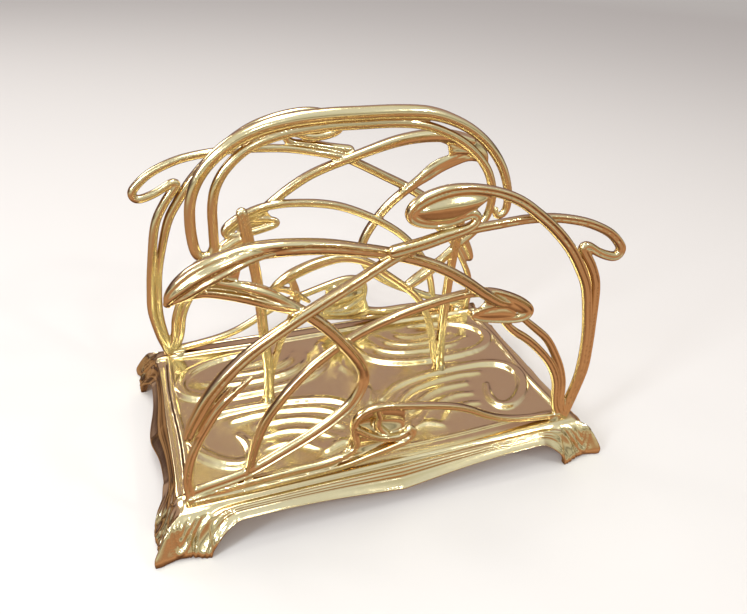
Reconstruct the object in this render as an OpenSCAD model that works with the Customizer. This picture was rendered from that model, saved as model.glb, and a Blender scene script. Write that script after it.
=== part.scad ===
// Cast brass rack in the whiplash style: a footed tray, two equal openwork
// panels facing away from each other and a taller divider between them.
// Millimetres, +Z up, X along the panels, origin on the table under the centre.

/* [Overall] */

// Length of each openwork panel, tip of the horn to tip of the leaf
panel_length = 195.5; // [170:0.5:230]
// Distance from the centre to the middle plane of each panel
panel_offset = 54.5; // [45:0.5:65]
// Length of the taller divider over its hoop
divider_length = 155.2; // [130:0.2:180]

/* [Tray] */

// Half length of the flat top of the tray
tray_half_length = 97.5; // [85:0.5:115]
// Half width of the flat top of the tray
tray_half_width = 59; // [50:0.5:70]
// Height of the flat top above the table
tray_height = 19; // [14:0.5:25]
// Thickness of the flat top
tray_thickness = 3; // [2:0.5:5]
// How far the apron stands out at its lower edge
apron_flare = 6.6; // [5:0.1:12]
// How far the feet stand out past the flat top, lengthways
foot_flare = 13; // [8:0.5:16]
// How far the feet stand out past the flat top, across
foot_front = 10.8; // [8:0.1:14]
// Height of the apron's lower edge where it is highest
apron_gap = 13.8; // [10:0.1:16]
// How far the middle of each apron hangs below that
lobe_drop = 5; // [0:0.5:8]
// Wall of the apron and the feet
apron_wall = 2.2; // [1.6:0.1:4]

/* [Strands] */

// Depth of a strand divided by its width
strand_depth = 1.05; // [0.7:0.05:1.4]
// Sides of a strand's section
strand_sides = 8; // [6:1:16]
// Bend in degrees that one straight length of a strand may take up
strand_bend = 15; // [5:1:30]

/* [Screws] */

// Screw radius
screw_radius = 1.5; // [1:0.1:2.5]
// Screw head radius
head_radius = 2.9; // [2:0.1:4]
// Screw head height
head_height = 2.2; // [1.5:0.1:4]
// Washer radius
washer_radius = 3.8; // [3:0.1:5]
// Washer thickness
washer_thickness = 0.6; // [0.4:0.1:1.2]
// How deep a screw reaches into a panel
screw_reach = 3; // [2:0.5:5]
// Half distance between the two screws of a panel
panel_screws = 86; // [60:0.5:90]
// Half distance between the two screws of the divider
divider_screws = 48; // [40:0.5:60]

/* [Hidden] */

brass = [0.80, 0.62, 0.27];
steel = [0.62, 0.61, 0.58];
round_fn = 48;
cast_fn = 24;
pad_radius = 3.8;
pad_height = 3.6;
bore_clearance = 0.05;
hole_clearance = 0.3;
seat_clearance = 0.5;
under_tray = tray_height - tray_thickness;
screw_inset = 1;
cap_reach = 0.7;
web_half = 0.8;
layer_step = 0.017;
corner_radius = 2;
slab_edge = 1;
wall_taper = 0.04;
rim_width = 1.5;
rim_drop = 0.1;
corner_steps = 8;

// Smooth curve through points, each [along, up, radius, depth]
function blend(a, b, c, d, t) =
  0.5 * (2 * b + (c - a) * t + (2 * a - 5 * b + 4 * c - d) * t * t
    + (3 * b - a - 3 * c + d) * t * t * t);
function flat(v) = [v[0], v[1]];
function bend(a, b, c, d) =
  let (s = flat(c - a), e = flat(d - b)) acos(min(s * e / norm(s) / norm(e), 1));
function spline(p) =
  let (q = concat([2 * p[0] - p[1]], p, [2 * p[len(p) - 1] - p[len(p) - 2]]))
  concat([for (i = [1:len(p) - 1])
      let (n = max(ceil(bend(q[i - 1], q[i], q[i + 1], q[i + 2]) / strand_bend), 1))
      for (k = [0:n - 1]) blend(q[i - 1], q[i], q[i + 1], q[i + 2], k / n)], [p[len(p) - 1]]);
function heading(c, i) =
  let (a = c[max(i - 1, 0)], b = c[min(i + 1, len(c) - 1)], d = [b[0] - a[0], b[1] - a[1]])
  d / norm(d);

// One rounded strand standing in the X-Z plane
module strand(points) {
  c = spline(points);
  n = strand_sides;
  m = len(c);
  first = heading(c, 0);
  last = heading(c, m - 1);
  rings = [for (i = [0:m - 1], k = [0:n - 1])
      let (h = heading(c, i), a = 360 * (k + 0.5) / n, r = c[i][2])
      [c[i][0] - h[1] * r * cos(a), c[i][3] + r * strand_depth * sin(a), c[i][1] + h[0] * r * cos(a)]];
  start = [c[0][0] - first[0] * c[0][2] * cap_reach, c[0][3], c[0][1] - first[1] * c[0][2] * cap_reach];
  end = [c[m - 1][0] + last[0] * c[m - 1][2] * cap_reach, c[m - 1][3],
    c[m - 1][1] + last[1] * c[m - 1][2] * cap_reach];
  skin = [for (i = [0:m - 2], k = [0:n - 1], t = [0, 1])
      let (a = i * n + k, b = i * n + (k + 1) % n)
      t == 0 ? [a, b, b + n] : [a, b + n, a + n]];
  tips = [for (k = [0:n - 1], t = [0, 1])
      t == 0 ? [m * n, (k + 1) % n, k] : [m * n + 1, (m - 1) * n + k, (m - 1) * n + (k + 1) % n]];
  polyhedron(concat(rings, [start, end]), concat(skin, tips));
}

// Several strands, each a hair's breadth behind the one before
module layered(strands) {
  for (i = [0:len(strands) - 1]) translate([0, layer_step * i, 0]) strand(strands[i]);
}

// A thin web that fills a leaf, standing in the X-Z plane
module web(points, depth = 0) {
  translate([0, depth + web_half, 0]) rotate([90, 0, 0])
    linear_extrude(2 * web_half) polygon(points);
}

// Openwork panel

post_and_notch = [[91, 22, 2.6, 0.3], [95, 33, 2.2, 0.8], [97, 48, 2.3, 1], [96, 61, 2.3, 1],
  [94, 75, 2.3, 1], [90, 96, 2.2, 0.5], [84.5, 107, 2.2, 0], [77, 117, 2.2, 0]];
horn_under = [[77, 117, 2.1, 0], [81, 116.3, 1.9, 0], [86, 113.5, 2, 0], [92, 111.3, 2.1, 0],
  [97.5, 111.3, 2.1, 0]];
horn_over = [[97.5, 111.5, 2.1, 0], [97.7, 115.5, 2.1, 0], [91.5, 121.5, 2, 0], [84, 126, 2, 0],
  [74, 129.3, 2, 0.5], [61, 131.7, 2, 1.6], [48, 132.5, 2, 1.6], [34, 132, 2, 1], [22, 131, 2, 1],
  [9, 128.5, 2, 1.2], [-3, 125.5, 2.2, 0.6], [-11, 122.5, 2.3, 0], [-28, 113.5, 2.4, -0.8],
  [-48, 102.5, 2.6, -1.2], [-66, 90, 2.8, -0.5], [-79, 76.5, 2.9, 0], [-88, 61.5, 2.7, 0],
  [-90.5, 55, 2.3, 0]];
horn_return = [[-90.5, 55, 2, 0], [-87, 56, 1.7, 0.4], [-84, 61, 1.5, 0.8], [-79, 68.5, 1.3, 0.8],
  [-73, 75.5, 1, 0.8]];
arch = [[91, 22, 2.6, 0.3], [92.5, 32, 2, 0], [93.5, 45, 2, -0.6], [92.5, 60, 2, -1],
  [90, 75, 2, -1.2], [84, 96, 2.2, -1.4], [78, 107, 2.3, -1.4], [70, 118, 2.4, -1.4],
  [60, 128, 2.4, -1.6], [50, 136, 2.3, -1.4], [41, 142, 2.2, -0.6], [31, 146, 2.1, 0],
  [20, 148.3, 2.1, 0], [10, 148.3, 2.3, 0], [1, 146, 2.6, 0], [-4.5, 142.3, 2.6, 0]];
arch_lip = [[-4.5, 141.5, 2.5, 0], [-3.2, 138.6, 2.3, 0], [3, 136.4, 2.1, 0], [11, 136, 2, 0],
  [18, 138, 1.9, -0.5], [22, 138.6, 1.9, -0.8]];
arch_bar = [[22, 138.6, 1.9, -0.8], [23.8, 136, 1.9, -1], [20, 133.2, 2.1, -1.4],
  [9, 131, 2.6, -2], [0, 129, 2.7, -2.2], [-9.5, 127.4, 2.7, -2.2]];
leaf_back = [[-91, 119.5, 2.2, 0], [-89.5, 122.5, 2.5, 0], [-85, 127, 2.9, 0], [-78, 130.5, 3.2, 0],
  [-69, 132.5, 3.4, 0], [-58, 133.3, 3.4, 0], [-46, 132.5, 3.2, 0], [-34, 130.8, 3, 0.4],
  [-22, 127.8, 2.7, 1], [-10, 124.4, 2.5, 1.6], [2, 120.3, 2.4, 1], [12, 115.8, 2.4, 0],
  [22, 109.5, 2.4, -0.8], [32, 102, 2.3, -1.2], [40, 96.5, 2.2, -0.6], [46, 94, 1.8, 0]];
leaf_lip = [[-91, 119, 2, 0], [-86, 118, 2.2, 0], [-80, 119, 1.9, 0], [-72, 117, 1.7, 0],
  [-64, 114, 1.7, 0], [-56, 110, 1.8, 0.4], [-48, 106.5, 2, 1], [-41.5, 102.5, 2.4, 1],
  [-34.5, 96, 2.5, 0], [-28, 88, 2.5, -0.8], [-22, 79, 2.5, -0.6], [-19, 71.5, 2.4, 0],
  [-19.5, 65, 2.3, 0], [-24, 56.5, 2.4, 0], [-31, 50.3, 2.4, 0], [-38, 45.5, 2.4, 0],
  [-45, 41.5, 2.4, 0], [-53, 37.5, 2.4, 0], [-61, 33.5, 2.4, 0], [-68, 30.5, 2.3, 0],
  [-76, 28.5, 2.2, 0], [-85, 27, 2.2, 0], [-91.5, 26, 2.2, 0]];
leaf_fold = [[-75, 123.5, 1.7, 0.6], [-68, 120.5, 1.7, 0.6], [-60, 116.5, 1.7, 0.6],
  [-52, 111.5, 1.8, 1], [-42.5, 104, 2.1, 1]];
inner_arch = [[-67.5, 30, 2, 0], [-66, 39, 2.1, 0], [-63.5, 47.5, 2.2, 0], [-60, 56, 2.2, 0],
  [-55, 63.5, 2.2, 0], [-49, 70.5, 2.2, 0.4], [-42, 77.2, 2.2, 0.8], [-34, 83.2, 2.2, 1.2],
  [-25, 88.7, 2.2, 1.2], [-15, 93.6, 2.2, 0.6], [-5, 97.4, 2.2, 0], [6, 100, 2.2, 0],
  [17, 101.5, 2.1, 0.4], [27, 102, 2.1, 0.8], [37, 100.8, 2.2, 0.6], [46.5, 97, 2.4, 0],
  [53.5, 92.6, 2.6, 0], [56.5, 89, 2.4, 0]];
small_lip = [[56.5, 88.6, 2.2, 0], [53, 86.4, 2.2, 0], [47, 86.5, 2, 0], [39, 88, 1.8, 0],
  [31, 90.2, 1.7, 0]];
small_curl = [[31, 90.2, 1.7, 0], [28.5, 92, 1.6, 0], [33, 93.6, 1.5, -0.4], [41, 94.5, 1.6, -0.4]];
stem_inner = [[44.5, 85.5, 1.7, 0], [51, 79.5, 1.9, 0], [59, 73.5, 2, 0], [67, 66, 2, 0],
  [74, 58, 2, 0], [79, 50, 2, 0], [82, 42, 1.9, 0], [83.5, 33.5, 1.9, 0], [85.5, 27, 2, 0],
  [89, 22, 2.2, 0]];
stem_outer = [[54, 85.5, 1.7, 0.6], [62.5, 78.5, 1.8, 0.6], [70.5, 71, 1.9, 0.6],
  [77, 61.5, 1.9, 0.6], [82.5, 51.5, 1.9, 0.6], [86, 42, 1.8, 0.6], [87, 33.5, 1.8, 0.4],
  [88, 27, 2, 0], [90, 22, 2.2, 0]];
rail_left = [[-91.5, 22.6, 2.3, -0.6], [-79, 23.6, 2.2, -0.6], [-64, 24.6, 2.2, -0.6],
  [-49, 25.2, 2.3, -0.6], [-36, 25.3, 2.3, -0.6], [-26, 27.4, 2.2, -0.6], [-19.5, 32, 2, -0.6],
  [-20.6, 40, 2, -0.6], [-20.6, 46, 2.1, -0.6]];
rail_right = [[-20.9, 44.8, 2, -0.5], [-19.8, 48, 2.05, -0.6], [-16.5, 50.7, 2, -0.6],
  [-8, 51.2, 1.9, -0.6], [2, 48.7, 2, -0.4], [14, 45.5, 2, 0], [26, 42, 2, 0],
  [35.5, 37.8, 2, 0], [44, 32.7, 2, 0], [53, 28.2, 2, 0], [63, 25, 2, 0], [75, 22.9, 2, 0],
  [89, 21.6, 2.2, 0]];
bud_under = [[-54, 21.6, 1.8, -1.6], [-39, 21.4, 1.9, -1.6], [-26, 22.1, 1.9, -1.6],
  [-14.5, 24.4, 2, -1.4], [-4.5, 26.4, 2.2, -1.2], [3.5, 28.6, 2.4, -1], [6.8, 32.5, 2.2, -1],
  [4, 35.6, 2, -1]];
bud_ring = [[-20.8, 42, 2, -0.6], [-15.5, 36.8, 2, -0.8], [-8.5, 33, 2, -0.9], [0, 32.1, 2.3, -0.7],
  [5, 34.2, 2, -0.5]];
bud_tongue = [[-12, 50, 1.8, -0.4], [-10, 44.5, 1.7, 0], [-10.2, 39, 1.8, 0.2],
  [-6.5, 34.6, 1.8, 0]];
side_shoot = [[-92, 23, 2.5, 0], [-92.8, 31, 2.2, 0.4], [-91, 41.5, 2.1, 0.6], [-88, 49, 1.9, 0.8],
  [-83, 58, 1.8, 0.8], [-77.5, 66.5, 1.7, 0.8], [-71, 73, 1.5, 0.8], [-65, 78, 1.2, 0.8]];

panel_strands = [post_and_notch, horn_under, horn_over, horn_return, arch, arch_lip, arch_bar,
  leaf_back, leaf_lip, leaf_fold, inner_arch, small_lip, small_curl, stem_inner, stem_outer,
  rail_left, rail_right, bud_under, bud_ring, bud_tongue, side_shoot];

big_leaf_web = [[-91, 120], [-85, 126], [-76, 130], [-66, 131], [-65.7, 128.3],
  [-68.2, 119.3], [-74, 120], [-80, 119]];
spoon_web = [[-4, 141], [3, 146], [12, 147], [20, 146], [14, 141.5], [8, 138], [2, 137]];
small_leaf_web = [[56, 89.5], [50.5, 94.5], [44, 97.8], [36.5, 99.7], [33, 97], [32, 93.9],
  [37, 94.2], [41.5, 94.1], [47, 90.8], [52, 88]];
small_leaf_lip = [[29.2, 91.9], [32.3, 93.3], [36.2, 94.1], [42, 93.9], [48, 91.2], [50.6, 87.1],
  [44.6, 87.3], [38.2, 88.6], [32.4, 90.1]];
bud_bowl = [[-20.4, 42.1], [-19.3, 47.4], [-15.6, 50.4], [-8.2, 50.9], [1.2, 48.8], [3.4, 33.9],
  [-1.1, 32.4], [-8.7, 33.3], [-15.2, 37.1]];
bud_web = [[-20.2, 39.4], [-15.4, 36.5], [-7.3, 32.7], [3.8, 33.3], [2.2, 28.4], [-8.1, 25.9],
  [-18.2, 23.8], [-24.4, 26.9], [-20.3, 32.2]];
fold_web = [[-73, 118], [-73, 122], [-60, 116], [-50, 109], [-50, 107.5], [-62, 113.5]];

module screw_pad(x, y) {
  translate([x, y, tray_height]) cylinder(h = pad_height, r = pad_radius, $fn = cast_fn);
}

module screw_bore(x, y) {
  translate([x, y, tray_height - 1])
    cylinder(h = screw_reach + 1, r = screw_radius + bore_clearance, $fn = round_fn);
}

// Strands of the front panel, its outer side towards -Y
module panel_casting() {
  resize([panel_length, 0, 0]) union() {
    layered(panel_strands);
    web(big_leaf_web, 0.55);
    web(spoon_web, 0.52);
    web(small_leaf_web, 0.48);
    web(small_leaf_lip, 0.39);
    web(fold_web, 0.61);
    web(bud_bowl, 0.43);
    web(bud_web, 0.31);
    for (side = [-1, 1]) screw_pad(side * panel_screws, screw_inset);
  }
}

module panel() {
  translate([0, -panel_offset, 0]) difference() {
    panel_casting();
    for (side = [-1, 1]) screw_bore(side * panel_screws, screw_inset);
  }
}

// Taller divider

hoop_outer = [[-68.5, 107.5, 2.1, 0], [-70.5, 104.8, 2.2, 0], [-74.5, 104.9, 2.3, 0],
  [-76.8, 109, 2.3, 0], [-77.3, 119, 2.3, 0], [-76, 131, 2.3, 0], [-71, 141.5, 2.5, 0],
  [-62, 150.5, 2.7, 0], [-50, 157, 2.9, 0], [-36, 160.5, 3.1, 0], [-20, 162, 3.2, 0],
  [-4, 162.3, 3.2, 0], [12, 162.3, 3.3, 0], [26, 161, 3, 0], [38, 157.5, 2.6, 0],
  [49, 152, 2.4, 0], [59, 144, 2.3, 0], [67, 134, 2.2, 0], [72, 123, 2.1, 0], [73.3, 114, 2, 0],
  [71, 110, 1.9, 0]];
hoop_inner = [[-68, 107, 2.1, 0], [-68.2, 117, 2.1, 0], [-67.8, 127, 2.1, 0], [-65.5, 136, 2.1, 0],
  [-60, 144, 2.1, 0], [-51, 150.8, 2.1, 0.4], [-38, 155, 2.2, 0.8], [-22, 157, 2.2, 0.8],
  [-5, 157.4, 2.2, 0.8], [12, 157.3, 2.2, 0.8], [25, 155.6, 2.1, 0.8], [37, 151.3, 2.1, 0.6],
  [47, 145.6, 2.1, 0.4], [55, 138.5, 2.1, 0], [61, 130, 2.1, 0], [64, 120, 2.1, 0],
  [63.2, 110.5, 2, 0], [58.5, 103.5, 2, 0], [50, 96, 2, 0]];
left_post = [[-48, 20.5, 3, 0], [-47.6, 40, 2.6, 0], [-49, 60, 2.5, 0], [-51, 90, 2.5, 0],
  [-54, 110, 2.7, 0], [-56, 122, 2.5, 0]];
right_post = [[47.7, 20.5, 3, 0], [46, 50, 2.5, 0], [46.5, 80, 2.4, 0], [47.7, 100, 2.4, 0],
  [49.5, 120, 2.4, 0]];
left_hold = [[-54, 112, 2, 0], [-58.5, 110.5, 1.9, 0], [-64, 107.5, 2, 0], [-68, 106, 2, 0]];
left_limb = [[-47.5, 21, 2, 0], [-46, 36, 1.8, 0], [-42, 52, 1.8, 0], [-38, 62, 1.8, 0],
  [-34, 72, 1.9, 0], [-33, 80, 1.9, 0], [-35, 87.5, 1.8, 0]];
low_arch = [[47, 21, 2, 0], [44, 27, 1.9, 0], [42, 35, 1.9, 0], [38.5, 50, 1.9, 0],
  [33, 63, 1.9, 0], [25, 73, 1.9, 0], [12, 84, 1.9, 0], [2, 91.8, 2, 0], [-10, 96, 2.3, 0],
  [-22, 95, 2.6, 0], [-34, 91, 2.7, 0], [-41, 87, 2.2, 0], [-44.5, 84.5, 1.4, 0]];
low_lip = [[-44, 84, 1.3, 0], [-39, 83.5, 1.6, 0], [-33, 80, 1.7, 0], [-28, 76, 1.4, 0]];
right_bud = [[24.5, 76.5, 2.6, 0], [29, 79.5, 3, 0], [35, 83.5, 2.9, 0], [41, 88.5, 2.3, 0],
  [46.5, 94, 1.9, 0]];
hook = [[71, 110, 1.9, 0], [68, 109.6, 1.7, 0], [67.2, 112.4, 1.4, 0]];

divider_strands = [hoop_outer, hoop_inner, left_post, right_post, left_hold, left_limb, low_arch,
  low_lip, right_bud, hook];

foot_height = 3.5;
foot_radius = 4.6;
foot_top_radius = 2.9;

module divider_casting() {
  resize([divider_length, 0, 0]) union() {
    layered(divider_strands);
    for (side = [-1, 1]) translate([side * divider_screws, 0, tray_height])
        cylinder(h = foot_height, r1 = foot_radius, r2 = foot_top_radius, $fn = cast_fn);
  }
}

module divider() {
  difference() {
    divider_casting();
    for (side = [-1, 1]) screw_bore(side * divider_screws, 0);
  }
}

// Footed tray

foot_run = 9.5;
foot_rise = 12;
foot_fade = [6, 15];
lobe_reach = 58;
side_lobe_reach = 34;
top_round = 0.35;
outer_steps = 8;
inner_steps = 4;
side_marks = [0, 1.5, 3, 4.5, 6, 7.5, 9, 10, 11.5, 13.5, 16, 19, 23, 28, 36, 46, 58, 72, 86];
flute_depth = 0.5;
flute_pitch = 0.3;
flute_start = 0.1;
flute_bend = 10;
flute_turn = -0.45;
flute_onset = [0.1, 0.25];
tip_shape = [1.1, 0.9];
tip_pull = 0.75;
tip_power = 1.5;

// Section of the skirt from the flat top to the lower edge: share of the reach, share of the drop
apron_out = [0, 0.12, 0.28, 0.42, 0.5, 0.58, 0.72, 0.9, 1];
apron_up = [1, 0.9, 0.94, 0.8, 0.6, 0.42, 0.26, 0.12, 0];
foot_out = [0, 0.16, 0.31, 0.45, 0.59, 0.76, 0.92, 1, 0.96];
foot_up = [1, 0.95, 0.84, 0.67, 0.5, 0.35, 0.25, 0.12, 0];
// Reach of the lower edge as a share of the apron's, by distance from the corner
front_reach = [[0, 1.36], [4, 1.47], [9, 1.6], [12, 1.5], [17, 1.18], [24, 1], [50, 1], [72, 1.05],
  [97, 1.13]];
side_reach = [[0, 1.75], [4, 1.81], [9, 1.85], [12, 1.62], [17, 1.12], [24, 0.88], [34, 0.92],
  [44, 1.1], [52, 1.35], [59, 1.47]];

function ease(t) = let (u = min(max(t, 0), 1)) u * u * (3 - 2 * u);
function foot_part(s) = 1 - ease((s - foot_fade[0]) / foot_fade[1]);
function reach_at(long, s) = apron_flare * lookup(s, long ? front_reach : side_reach);
function lower_edge(s, half) =
  let (rise = pow(min(max((s - foot_run) / foot_rise, 0), 1), 0.5), to_mid = half - s,
    lobe = half > tray_half_width ? lobe_reach : side_lobe_reach)
  rise * (apron_gap - lobe_drop * pow(max(1 - to_mid / lobe, 0), 1.5));
function along(table, t) =
  let (k = len(table) - 1) lookup(t * k, [for (i = [0:k]) [i, table[i]]]);

// One station of the outline: [[x, y], reach as a vector, outward direction,
// distance to the corner, half side, how far round the corner]
outward = [[0, -1], [1, 0], [0, 1], [-1, 0]];
function side_run(half) =
  let (m = [for (s = side_marks) if (s < half - 6) s])
  concat([for (s = m) s], [half], [for (i = [len(m) - 1:-1:0]) 2 * half - m[i]]);
function side_stations(turn) =
  let (long = turn % 2 == 0, whole = long ? tray_half_length : tray_half_width,
    place = long ? tray_half_width : tray_half_length, half = whole - corner_radius, d = outward[turn])
  [for (s = side_run(half))
      let (t = s - half, near = min(s, 2 * half - s), p = d * place + [-d[1], d[0]] * t)
      [p, d * reach_at(long, near), d, near, half, 0]];
function corner_stations(turn) =
  let (long = turn % 2 == 0, d = outward[turn], e = outward[(turn + 1) % 4],
    a = d * reach_at(long, 0), b = e * reach_at(!long, 0), c = a + b,
    tip = [c[0] * tip_shape[0], c[1] * tip_shape[1]],
    core = [(d[0] + e[0]) * (tray_half_length - corner_radius),
      (d[1] + e[1]) * (tray_half_width - corner_radius)])
  [for (k = [1:corner_steps - 1])
      let (f = k / corner_steps, w = d * cos(90 * f) + e * sin(90 * f), near_tip = 1 - abs(2 * f - 1))
      [core + corner_radius * w,
        (1 - f) * (1 - f) * a + f * f * b + 2 * f * (1 - f) * c
          + (tip - tip_pull * c) * pow(near_tip, tip_power),
        w, 0, 90, near_tip]];
outline = concat(side_stations(0), corner_stations(0), side_stations(1), corner_stations(1),
  side_stations(2), corner_stations(2), side_stations(3), corner_stations(3));

// Share of the reach, height and depth of the flutes on the outside, t from 0 at the top to 1 below
function skirt_reach(st, t) =
  let (w = foot_part(st[3])) along(apron_out, t) * (1 - w) + along(foot_out, t) * w;
function skirt_level(st, t) =
  let (w = foot_part(st[3]), z = lower_edge(st[3], st[4]))
  z + (tray_height - top_round - z) * (along(apron_up, t) * (1 - w) + along(foot_up, t) * w);
function flute(st, t) =
  let (bent = st[5] > 0 ? flute_turn * st[5] : min(st[3] / flute_bend, 1),
    run = 1 - t * bent, wave = abs(cos(180 * (run - flute_start) / flute_pitch)))
  flute_depth * foot_part(st[3]) * ease((t - flute_onset[0]) / flute_onset[1]) * (wave - 1);

module skirt() {
  n = outer_steps + inner_steps + 3;
  m = len(outline);
  points = [for (st = outline, j = [0:n - 1])
      let (t = j <= outer_steps ? j / outer_steps : 1 - (j - outer_steps - 1) / inner_steps,
        last = j == n - 1,
        inside = j > outer_steps,
        wall = apron_wall + wall_taper * min(st[3], side_marks[10]),
        edge = last ? -rim_width : inside ? -wall : flute(st, t),
        p = st[0] + (last ? 0 : skirt_reach(st, t)) * st[1] + edge * st[2],
        up = last ? tray_height - rim_drop : skirt_level(st, t) - (inside ? wall * (1 - t) : 0),
        z = j == 0 ? tray_height - top_round : max(up, lower_edge(st[3], st[4])))
      [p[0], p[1], z]];
  faces = [for (i = [0:m - 1], j = [0:n - 1], t = [0, 1])
      let (a = i * n + j, b = i * n + (j + 1) % n, c = ((i + 1) % m) * n + (j + 1) % n,
        d = ((i + 1) % m) * n + j)
      t == 0 ? [a, c, b] : [a, d, c]];
  polyhedron(points, faces);
}

// Raised lines on the tray, drawn for the right half: [x, y, radius, rise]
relief_z = 0.6;
back_loop = [[9, 38, 1.5, 0], [9.5, 30, 1.8, 0], [12, 22, 2, 0], [20, 15, 2.1, 0],
  [32, 10.8, 2.1, 0], [46, 9, 2.1, 0], [62, 8.7, 2.1, 0], [78, 11, 2.2, 0], [87, 16.5, 2.4, 0],
  [89.5, 24, 2.4, 0], [86, 32, 2.2, 0], [78, 38, 2, 0], [66, 42, 1.8, 0], [48, 44, 1.4, 0]];
back_mid = [[19, 34, 1.1, 0], [22, 26, 1.4, 0], [33, 20, 1.5, 0], [50, 18, 1.4, 0],
  [66, 19, 1.3, 0], [77, 23, 1.2, 0]];
back_small = [[26, 37, 1, 0], [31, 30, 1.3, 0], [43, 25.5, 1.3, 0], [58, 25.5, 1.2, 0],
  [69, 28.5, 1, 0]];
front_loop = [[8, -15, 1.3, 0], [19, -7.5, 1.7, 0], [36, -3.6, 1.9, 0], [56, -2, 1.9, 0],
  [74, -2.6, 2.1, 0], [84.5, -7, 2.3, 0], [88.5, -15, 2.4, 0], [86, -25.5, 2.4, 0],
  [78, -34.5, 2.3, 0], [69.5, -38.5, 2.1, 0], [64, -36, 1.9, 0], [63.5, -28, 1.6, 0],
  [67, -20, 1.2, 0]];
front_mid = [[14, -21, 1.1, 0], [25, -13.5, 1.4, 0], [40, -9.8, 1.5, 0], [56, -8.8, 1.4, 0],
  [68, -9.6, 1.2, 0]];
front_low = [[18, -28, 1.1, 0], [30, -20, 1.4, 0], [43, -16.3, 1.4, 0], [57, -16.2, 1.2, 0]];
front_small = [[23, -35, 1, 0], [34, -27, 1.3, 0], [45, -23.6, 1.2, 0], [56, -24.5, 1, 0]];
relief = [back_loop, back_mid, back_small, front_loop, front_mid, front_low, front_small];
border_inset = [4.5, 13.5];
border_radius = 1.3;
border_sway = 0.5;

module relief_line(points) {
  translate([0, 0, tray_height - relief_z]) rotate([-90, 0, 0]) mirror([0, 1, 0]) strand(points);
}

module border() {
  x = tray_half_length - border_inset[0];
  y = tray_half_width - border_inset[1];
  path = [[0, -1], [border_sway, -0.5], [-border_sway, 0], [border_sway, 0.5], [0, 1]];
  for (side = [-1, 1]) relief_line([for (p = path) [side * (x + p[0]), p[1] * y, border_radius, 0]]);
}

module base_casting() {
  long = 2 * (tray_half_length + foot_flare);
  wide = 2 * (tray_half_width + foot_front);
  resize([long, wide, 0]) union() {
    translate([slab_edge - tray_half_length, slab_edge - tray_half_width, under_tray])
      cube([2 * (tray_half_length - slab_edge), 2 * (tray_half_width - slab_edge), tray_thickness]);
    skirt();
    for (m = [0, 1]) mirror([m, 0, 0]) for (line = relief) relief_line(line);
    border();
  }
}

module base_hole(x, y) {
  translate([x, y, under_tray - 1])
    cylinder(h = tray_thickness + 3, r = screw_radius + hole_clearance, $fn = round_fn);
}

module base_seat(x, y, r) {
  translate([x, y, tray_height]) cylinder(h = tray_thickness, r = r + seat_clearance, $fn = round_fn);
}

module tray() {
  difference() {
    base_casting();
    for (sx = [-1, 1]) base_seat(sx * divider_screws, 0, foot_radius);
    for (sx = [-1, 1], sy = [-1, 1])
      base_hole(sx * panel_screws, sy * (panel_offset - screw_inset));
    for (sx = [-1, 1]) base_hole(sx * divider_screws, 0);
  }
}

// Screws and washers under the tray

slot_width = 0.8;
slot_depth = 0.9;
tip_gap = 0.4;

module screw_at(x, y) {
  top = tray_height + screw_reach - tip_gap;
  seat = under_tray - washer_thickness;
  translate([x, y, 0]) difference() {
    union() {
      translate([0, 0, seat - head_height]) cylinder(h = head_height, r = head_radius, $fn = round_fn);
      translate([0, 0, seat - 0.5])
        cylinder(h = top - seat + 0.5, r = screw_radius, $fn = round_fn);
    }
    translate([-head_radius - 1, -slot_width / 2, seat - head_height - 1])
      cube([2 * head_radius + 2, slot_width, slot_depth + 1]);
  }
}

module washer_at(x, y) {
  translate([x, y, under_tray - washer_thickness]) difference() {
    cylinder(h = washer_thickness, r = washer_radius, $fn = round_fn);
    translate([0, 0, -1])
      cylinder(h = washer_thickness + 2, r = screw_radius + hole_clearance, $fn = round_fn);
  }
}

screw_y = panel_offset - screw_inset;

module base() color(brass) tray();
module front_panel() color(brass) panel();
module back_panel() color(brass) rotate([0, 0, 180]) panel();
module centre_divider() color(brass) divider();
module screw_front_left() color(steel) screw_at(-panel_screws, -screw_y);
module screw_front_right() color(steel) screw_at(panel_screws, -screw_y);
module screw_back_left() color(steel) screw_at(-panel_screws, screw_y);
module screw_back_right() color(steel) screw_at(panel_screws, screw_y);
module screw_centre_left() color(steel) screw_at(-divider_screws, 0);
module screw_centre_right() color(steel) screw_at(divider_screws, 0);
module washer_front_left() color(steel) washer_at(-panel_screws, -screw_y);
module washer_front_right() color(steel) washer_at(panel_screws, -screw_y);
module washer_back_left() color(steel) washer_at(-panel_screws, screw_y);
module washer_back_right() color(steel) washer_at(panel_screws, screw_y);
module washer_centre_left() color(steel) washer_at(-divider_screws, 0);
module washer_centre_right() color(steel) washer_at(divider_screws, 0);

base();
front_panel();
back_panel();
centre_divider();
screw_front_left();
screw_front_right();
screw_back_left();
screw_back_right();
screw_centre_left();
screw_centre_right();
washer_front_left();
washer_front_right();
washer_back_left();
washer_back_right();
washer_centre_left();
washer_centre_right();
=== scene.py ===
import bpy
import math
import numpy as np
from mathutils import Matrix, Vector


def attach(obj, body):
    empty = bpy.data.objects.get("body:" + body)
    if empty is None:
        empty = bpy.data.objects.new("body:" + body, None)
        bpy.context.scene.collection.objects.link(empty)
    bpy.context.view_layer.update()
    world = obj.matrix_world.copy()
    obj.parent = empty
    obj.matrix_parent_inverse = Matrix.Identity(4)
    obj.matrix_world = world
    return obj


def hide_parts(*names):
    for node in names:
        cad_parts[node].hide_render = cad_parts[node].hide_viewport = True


# Polished brass rack: a footed tray, two openwork panels and a taller divider.
# Shapes are drawn in millimetres and turned into metres when a mesh is made.

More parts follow.
